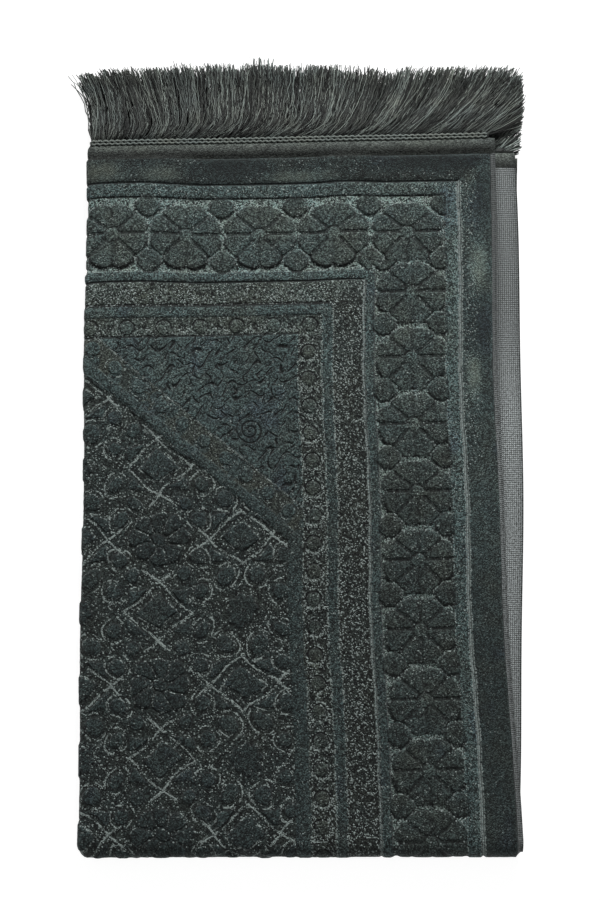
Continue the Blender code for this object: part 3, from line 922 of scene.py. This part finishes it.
def ground_material():
    material, tree, shader = new_finish("woven back", 0.9)
    flat = attribute(tree, "flat", "Vector")
    across, along = flat_place(tree, flat)
    warp, weft = (work("SINE", place * (math.tau / WEAVE_PITCH)) for place in (across, along))
    grid = rise(warp + weft, -0.5, 0.9)
    fuzz = noise(tree, flat, 700.0)
    patches = noise(tree, flat, 14.0, stretch=(1.0, 0.5, 1.0))
    from_side = HALF_MM - size_of(across)
    cords = work("SINE", from_side * (math.tau / CORD_PITCH)) * fall(from_side, *CORDS_END)
    middle = within(from_side, *WEAVE_LIT)
    lit_from, lit_to = WEAVE_LIT_ALONG
    further = rise(along, *lit_from) - rise(along, *lit_to)
    threads = grid * 0.7 + (fuzz - 0.5) * (1.2 + further * 1.2) + cords * 0.3 + 0.14
    shade = (0.62 + patches * 0.35) * (0.66 + middle * 0.55) * (1.0 + further * 0.55)
    colour = toned(tree, mixed(tree, threads, WEAVE_DARK, WEAVE_PALE), shade)
    tree.links.new(colour, shader.inputs["Base Color"])
    bumped(tree, shader, grid * 0.4 + fuzz * 0.3 + cords * 0.4)
    return material


def hem_material():
    material, tree, shader = new_finish("hem weave", 0.9)
    flat = attribute(tree, "flat", "Vector")
    off, lightness, _ = cells(tree, flat, 900.0)
    _, along = flat_place(tree, flat)
    from_end = least(along, LENGTH * 1000 - along)
    ribs = noise(tree, flat, 500.0, detail=1.0, stretch=(1.0, 0.35, 1.0))
    colour = mixed(tree, noise(tree, flat, 30.0), *HEM_COLOURS)
    shade = (0.35 + lightness) * varied(ribs, 0.8) * (1.25 - off * 0.7) \
        * (0.48 + 1.2 * fall(from_end, *HEM_PAINTED_SHADE))
    tree.links.new(toned(tree, colour, shade), shader.inputs["Base Color"])
    bumped(tree, shader, ribs * 0.5 - off * 0.6 + lightness * 0.3)
    return material


cloth_mesh = mesh_from("rug", flat_cloth())
finishes = finishes_of(cloth_mesh)
stray = np.random.default_rng(5)
lay_out(cloth_mesh, lambda u, v: pile_height(u, v) - np.abs(stray.normal(0, PILE_STRAY, len(u))))
cloth_mesh.flip_normals()
rug = new_piece("rug_plush", cloth_mesh, "pile", pile_material("border"), pile_material("field"),
                ground_material(), hem_material())
cloth_mesh.polygons.foreach_set("material_index", finishes)
cloth_mesh.shade_smooth()
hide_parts("rug_cloth")

# ---- fringe ------------------------------------------------------------------------------------
# Loose two-ply yarns, cut to length by hand, drawn through a narrow heading tape that is chain
# stitched along each end of the rug. They lie in wavy clumps, combed towards the rug's free side.
TAPE_CLEARANCE, TAPE_WIDTH, TAPE_INSET = 0.0003, 0.0040, 0.0050
TAPE_UNDERSIDE, TAPE_TOP = 0.0015, 0.0035
LOWEST_TAPE = CLOTH - TAPE_TOP
HIGHEST_TAPE = STACK - CLOTH + TAPE_UNDERSIDE
TAPE_CUTS = ((-0.340, 0.341, 0.010), (-0.012, 0.0121, 0.0015))      # all along, and finer at the fold
TAPE_TONE = 0.35
SETTLED_SHARE, SETTLED_THICKNESS = 0.34, 0.75       # of their height and depth, once they have sunk
SETTLE_REACH = (0.014, 0.060)           # how far out the lowest and the highest yarns have sunk
FOLD_PINCH = 0.45
YARN_RADIUS = (0.00056, 0.00027)        # of the lowest and the highest yarns
YARN_POINTS, YARN_TAPER = 11, 0.18
YARNS = {"fringe_upper": (1650, 1050), "fringe_lower": (1400, 1100)}    # on the near and far half
YARN_ROOT = 0.7                         # across the tape
CLUMP, GATHERED = 0.0046, 0.42          # width of a clump at its root, and how far its yarns draw in
TRIMMED = (0.0010, 0.0050, 0.0450)      # yarns are cut off this far past the free side, at root and higher
# How the yarns lean from upright, in degrees away from the fold, and how long they are, in millimetres:
# distance from the fold, then root, middle, tip and length.
COMBED = ((0.000, 0, 3, -26, 62), (0.020, 14, -4, -26, 65), (0.055, 42, -14, -16, 68),
          (0.100, 50, 0, -3, 70), (0.150, 49, 2, 0, 69), (0.185, 49, 8, 3, 68),
          (0.220, 50, 24, 12, 62), (0.265, 54, 34, 19, 66), (0.285, 56, 38, 20, 66),
          (0.308, 50, 40, 32, 60), (0.325, 50, 42, 38, 58), (0.338, 62, 48, 38, 56),
          (0.345, 76, 55, 34, 56))
LEAN_STRAY, STEEPEST = (9.0, 4.0, 5.0), 76      # degrees, astray at root, middle and tip, and at most
CLUMP_LEAN = 0.6                        # how far a clump goes astray as one, against a yarn
LENGTH_STRAY = (0.0027, 0.0010)         # of a clump, and of each yarn
WAVE, SWING = (0.009, 0.016), (0.0002, 0.0010)      # least and most of the yarns' waves
HEAVE, HEAVE_LENGTH = 0.0004, 1.3       # their waves up and down, and how much longer those are
LOFT = (0.6, 0.9)                       # the lowest yarns' height in the lock, and what the highest add
YARN_TONE, YARN_PALER, YARN_RARITY = 0.22, 7.6, 3.6     # darkest, palest over it, and how few are pale
CLUMP_TONE = 0.04
# Painted light on the hidden half's yarns at their free side, where the stack above shades them.
EDGE_PAINTED_LIGHT = (0.318, 0.334, 1.2)        # paler at the hidden half's free side: from, to and how much
STITCH_ROWS = (0.00085, 0.00325)        # middles of the two rows of stitches, from the cloth's edge
STITCH_SWING, STITCH_PITCH, STITCH_RADIUS = 0.00050, 0.0050, 0.00100
STITCH_HEIGHT = (0.6, 0.3)              # over the tape, and how much it goes up and down, in radii
STITCH_TONE = 2.2
YARN_COLOURS = (0.030, 0.037, 0.036), (0.036, 0.039, 0.033)


def settle(low, thick, past):
    """Height of a point past the hems: it sinks on the yarns below it, or to the floor."""
    layer = np.clip((low - LOWEST_TAPE) / (HIGHEST_TAPE - LOWEST_TAPE), 0.0, 1.0)
    reach = SETTLE_REACH[0] + (SETTLE_REACH[1] - SETTLE_REACH[0]) * layer
    ease = rise(past / reach, 0.0, 1.0)
    rest = np.maximum(low - LOWEST_TAPE, 0.0) * SETTLED_SHARE
    return low + (rest - low) * ease + thick * (1 - (1 - SETTLED_THICKNESS) * ease)


def heading_place(u, v, h):
    """Where a point of the heading tape lies. Round the fold the tape is drawn in."""
    x, y, z = folded(u, v, h)
    low = np.minimum(folded(u, v, TAPE_UNDERSIDE + 0 * h)[2], folded(u, v, TAPE_TOP + 0 * h)[2])
    return np.where(x < 0.0, x * (1 - FOLD_PINCH), x), y, low, z - low


def column(values):
    return values[:, None]


def yarn_paths(near, far, foot, draw):
    """Middle lines of one end's yarns, yarn by yarn and point by point."""
    half = WIDTH / 2 - TAPE_INSET
    count = near + far
    u = half * np.concatenate([(np.arange(near) + draw.uniform(0, 1, near)) / near,
                               -(np.arange(far) + draw.uniform(0, 1, far)) / far])
    h = draw.uniform(TAPE_UNDERSIDE, TAPE_TOP, count)
    root_x, root_y, low, thick = heading_place(u, foot + 0 * u, h)
    clump = np.floor(u / CLUMP + draw.normal(0, 0.25, count)).astype(int)
    of_clump = draw.normal(0, 1, (clump.max() - clump.min() + 1, 4))[clump - clump.min()]
    at, root, middle, tip, length = np.array(COMBED).T
    length = np.interp(abs(u), at, length) / 1000 + LENGTH_STRAY[0] * of_clump[:, 0]
    length = column(length + draw.normal(0, LENGTH_STRAY[1], count))

    # how they lean, as combed, and how that carries them across
    s = np.linspace(0.0, 1.0, YARN_POINTS)[None, :] ** 0.9
    at_root, at_tip = fall(s, 0.03, 0.36), rise(s, 0.45, 1.0)
    lean = 0.0
    for share, angle, stray in zip((at_root, 1 - at_root - at_tip, at_tip), (root, middle, tip), LEAN_STRAY):
        angle = np.interp(abs(u), at, angle) + draw.normal(0, stray, count)
        angle = np.clip(angle + of_clump[:, 1] * stray * CLUMP_LEAN, -STEEPEST, STEEPEST)
        lean = lean + share * column(np.tan(np.radians(angle)))
    step = np.diff(s, axis=1) * (lean[:, 1:] + lean[:, :-1]) / 2
    across = np.concatenate([np.zeros((count, 1)), np.cumsum(step, axis=1)], axis=1) * length

    # their waves, which a clump has in common, and how its yarns draw together
    wave = column(draw.uniform(*WAVE, count))
    phase = of_clump[:, 2:3] * 2.0 + column(draw.normal(0, 0.8, count))
    swing = column(draw.uniform(*SWING, count)) * rise(s, 0.0, 0.3)
    across = across + swing * np.sin(math.tau * s * length / wave + phase)
    centre = (clump + 0.5) * CLUMP
    across = across - column(np.sign(u) * (u - centre)) * GATHERED * rise(s, 0.3, 1.0)
    x = column(root_x) + across
    y = column(root_y) + length * s
    rank = draw.uniform(0, 1, count)
    z = settle(column(low), column((LOFT[0] + LOFT[1] * rank) * thick), y - END_LINE)
    z = z + HEAVE * rise(s, 0.0, 0.2) * (1 + np.sin(math.tau * s * length / (wave * HEAVE_LENGTH) - phase))
    paths = np.stack([x, y, np.maximum(z, YARN_RADIUS[0] + 0.0001)], axis=2)

    # Pale yarns are few and random, and paler the higher they lie in the lock: painted light on the top of
    # the lock.
    paler = YARN_PALER * draw.uniform(0, 1, count) ** YARN_RARITY * (0.2 + 0.8 * rank)
    edge_from, edge_to, edge_painted_light = EDGE_PAINTED_LIGHT
    tone = YARN_TONE + paler + of_clump[:, 3] * CLUMP_TONE
    # Painted light at the hidden half's free side.
    tone = tone * (1.0 + edge_painted_light * rise(-u, edge_from, edge_to))
    radius = YARN_RADIUS[0] + (YARN_RADIUS[1] - YARN_RADIUS[0]) * rank
    trim(paths, root_x.max() + TAPE_INSET, draw)
    return paths + centring, radius, tone


def trim(paths, side, draw):
    """Cuts yarns off where they pass the rug's free side."""
    at_root, higher, reach = TRIMMED
    stations = np.arange(YARN_POINTS)
    for path in paths:
        allowed = at_root + (higher - at_root) * rise((path[:, 1] - END_LINE) / reach, 0.0, 1.0)
        past = path[:, 0] - side - allowed + draw.normal(0, 0.0010)
        outside = np.flatnonzero(past > 0)
        if len(outside) and outside[0] > 0:
            last = outside[0]
            stop = last - past[last] / (past[last] - past[last - 1])
            kept = np.linspace(0.0, stop, YARN_POINTS)
            path[:] = np.stack([np.interp(kept, stations, places) for places in path.T], axis=1)


def stitch_paths(foot, way):
    """Two rows of chain stitch along the heading tape, which part and close at each stitch."""
    half = WIDTH / 2 - TAPE_INSET - STITCH_RADIUS
    u = np.arange(-half, half, STITCH_PITCH / 6)
    turn = math.tau * u / STITCH_PITCH
    stands, rocks = STITCH_HEIGHT
    paths = []
    for row, side in zip(STITCH_ROWS, (-1, 1)):
        v = foot + way * (row + side * STITCH_SWING * np.sin(turn))
        h = TAPE_TOP + STITCH_RADIUS * (stands + rocks * np.cos(turn))
        x, y, low, thick = heading_place(u, v, h)
        paths.append(np.stack([x, y, low + thick], axis=1) + centring)
    return np.stack(paths)


def add_yarns(mesh_parts, paths, radii, tones, taper, sides=3):
    """Adds round yarns along middle lines, as arrays of points, faces, tone and place on the yarn."""
    count, points = paths.shape[:2]
    way = np.gradient(paths, axis=1)
    way /= np.linalg.norm(way, axis=2, keepdims=True)
    side = np.cross(way, [0.0, 0.0, 1.0])
    side /= np.maximum(np.linalg.norm(side, axis=2, keepdims=True), 1e-6)
    top = np.cross(side, way)
    s = np.linspace(0.0, 1.0, points)
    reach = (radii[:, None] * (1 - taper * s ** 3))[:, :, None]
    rings = [paths + reach * (math.cos(turn) * side + math.sin(turn) * top)
             for turn in (math.tau * (k + 0.75) / sides for k in range(sides))]
    verts = np.stack(rings, axis=2).reshape(-1, 3)
    first = mesh_parts["points"]
    index = np.arange(count * points * sides).reshape(count, points, sides) + first
    beside = np.roll(index, -1, axis=2)
    quads = np.stack([index[:, :-1], index[:, 1:], beside[:, 1:], beside[:, :-1]], axis=-1).reshape(-1, 4)
    mesh_parts["points"] = first + len(verts)
    mesh_parts["verts"].append(verts)
    mesh_parts["faces"] += quads.tolist() + index[:, 0].tolist() + index[:, -1, ::-1].tolist()
    mesh_parts["tone"].append(np.repeat(tones, points * sides))
    mesh_parts["yarn"].append(np.tile(np.repeat(s, sides), count))


def tape_mesh(foot_low, foot_high):
    """The heading tape: a flat block, cut across and laid round the fold."""
    half = WIDTH / 2 - TAPE_INSET
    bm = bmesh.new()
    bmesh.ops.create_cube(bm, size=1.0)
    low = Vector((-half, foot_low, TAPE_UNDERSIDE))
    high = Vector((half, foot_high, TAPE_TOP))
    bmesh.ops.scale(bm, vec=high - low, verts=bm.verts)
    bmesh.ops.translate(bm, vec=(low + high) / 2, verts=bm.verts)
    for place in np.concatenate([np.arange(*cuts) for cuts in TAPE_CUTS]):
        bmesh.ops.bisect_plane(bm, geom=bm.verts[:] + bm.edges[:] + bm.faces[:], dist=1e-7,
                               plane_co=(place, 0, 0), plane_no=(1, 0, 0))
    flat = np.array([vert.co for vert in bm.verts])
    x, y, low, thick = heading_place(*flat.T)
    for vert, place in zip(bm.verts, np.stack([x, y, low + thick], axis=1) + centring):
        vert.co = Vector(place)
    if bm.calc_volume(signed=True) < 0:
        bmesh.ops.reverse_faces(bm, faces=bm.faces)
    return bm


def yarn_material():
    material, tree, shader = new_finish("fringe yarn", 0.7, specular=0.25)
    tone = Reading(tree, attribute(tree, "tone", "Fac"))
    along = Reading(tree, attribute(tree, "yarn", "Fac"))
    place = tree.nodes.new("ShaderNodeTexCoord").outputs["Object"]
    fibres = noise(tree, place, 900.0, stretch=(1.0, 0.5, 1.0))
    patches = noise(tree, place, 45.0)
    colour = mixed(tree, patches * 1.4 - 0.2, *YARN_COLOURS)
    shade = tone * varied(fibres, 1.1) * (0.80 + rise(along, 0.0, 0.5) * 0.25)
    tree.links.new(toned(tree, colour, shade), shader.inputs["Base Color"])
    bumped(tree, shader, fibres * 0.25)
    return material


yarn_finish = yarn_material()
draw = np.random.default_rng(27)
for node, foot, way in (("fringe_upper", 0.0, -1), ("fringe_lower", LENGTH, 1)):
    edges = sorted(foot + way * place for place in (TAPE_CLEARANCE, TAPE_CLEARANCE + TAPE_WIDTH))
    mesh = mesh_from(node, tape_mesh(*edges))
    parts = {"points": len(mesh.vertices), "verts": [np.array([vert.co for vert in mesh.vertices])],
             "faces": [list(face.vertices) for face in mesh.polygons],
             "tone": [np.full(len(mesh.vertices), TAPE_TONE)], "yarn": [np.zeros(len(mesh.vertices))]}
    paths, radii, tones = yarn_paths(*YARNS[node], foot + way * TAPE_WIDTH * YARN_ROOT, draw)
    add_yarns(parts, paths, radii, tones, taper=YARN_TAPER)
    add_yarns(parts, stitch_paths(foot, way), np.full(2, STITCH_RADIUS), np.full(2, STITCH_TONE),
              taper=0.0, sides=4)
    mesh.clear_geometry()
    mesh.from_pydata(np.concatenate(parts["verts"]), [], parts["faces"])
    for name in ("tone", "yarn"):
        mesh.attributes.new(name, "FLOAT", "POINT").data.foreach_set("value", np.concatenate(parts[name]))
    mesh.shade_smooth()
    piece = new_piece(node.replace("_", "_yarns_"), mesh, "yarn", yarn_finish)
    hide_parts(node)

# ---- floor, lights and camera ------------------------------------------------------------------
# A pale table top under soft studio light that comes mostly from beyond the fringe.
bm = bmesh.new()
bmesh.ops.create_grid(bm, x_segments=1, y_segments=1, size=3.0)
floor_mesh = mesh_from("table_top", bm)
floor = linked("table_top", floor_mesh)
floor_material, _, shader = new_finish("pale table", 0.8, specular=0.5)
shader.inputs["Base Color"].default_value = (0.22, 0.22, 0.22, 1.0)
shader.inputs["Emission Color"].default_value = (1.0, 1.0, 1.0, 1.0)
shader.inputs["Emission Strength"].default_value = 0.90
floor_mesh.materials.append(floor_material)
floor.location.z = -0.0002

world = bpy.data.worlds.new("studio")
world.use_nodes = True
sky = world.node_tree.nodes["Background"]
sky.inputs["Color"].default_value = (1.0, 1.0, 1.0, 1.0)
sky.inputs["Strength"].default_value = 0.36
bpy.context.scene.world = world
bpy.context.scene.view_settings.view_transform = "Standard"
for name, place, size, power in (
    ("beyond the fringe", (0.35, 1.75, 1.20), 0.6, 74.0),
    ("over the rug", (-0.8, -0.3, 1.9), 1.2, 5.0),
):
    light = bpy.data.lights.new(name, "AREA")
    light.energy, light.size = power, size
    lamp = linked(name, light)
    lamp.location = place
    lamp.rotation_euler = (-Vector(place)).to_track_quat("-Z", "Y").to_euler()

CAMERA_TILT = math.radians(9.9)     # off straight down
CAMERA_ROLL = math.radians(0.262)
CAMERA_FAR = 1.636
PIXELS_PER_METRE = 1236.0           # in the middle of the picture
PICTURE_TALL = 900
AIM = (0.17054, 0.3107, STACK)      # what it looks at, before the rug is centred
aim = Vector(np.array(AIM) + centring)
back = Vector((0.0, -math.sin(CAMERA_TILT), math.cos(CAMERA_TILT)))
lens = bpy.data.cameras.new("camera")
lens.sensor_width = 36.0
lens.lens = PIXELS_PER_METRE * CAMERA_FAR / PICTURE_TALL * lens.sensor_width
camera = linked("camera", lens)
camera.rotation_mode = "QUATERNION"
camera.location = aim + back * CAMERA_FAR
camera.rotation_quaternion = (-back).to_track_quat("-Z", "Y")
camera.rotation_quaternion @= Matrix.Rotation(-CAMERA_ROLL, 3, "Z").to_quaternion()
bpy.context.scene.camera = camera
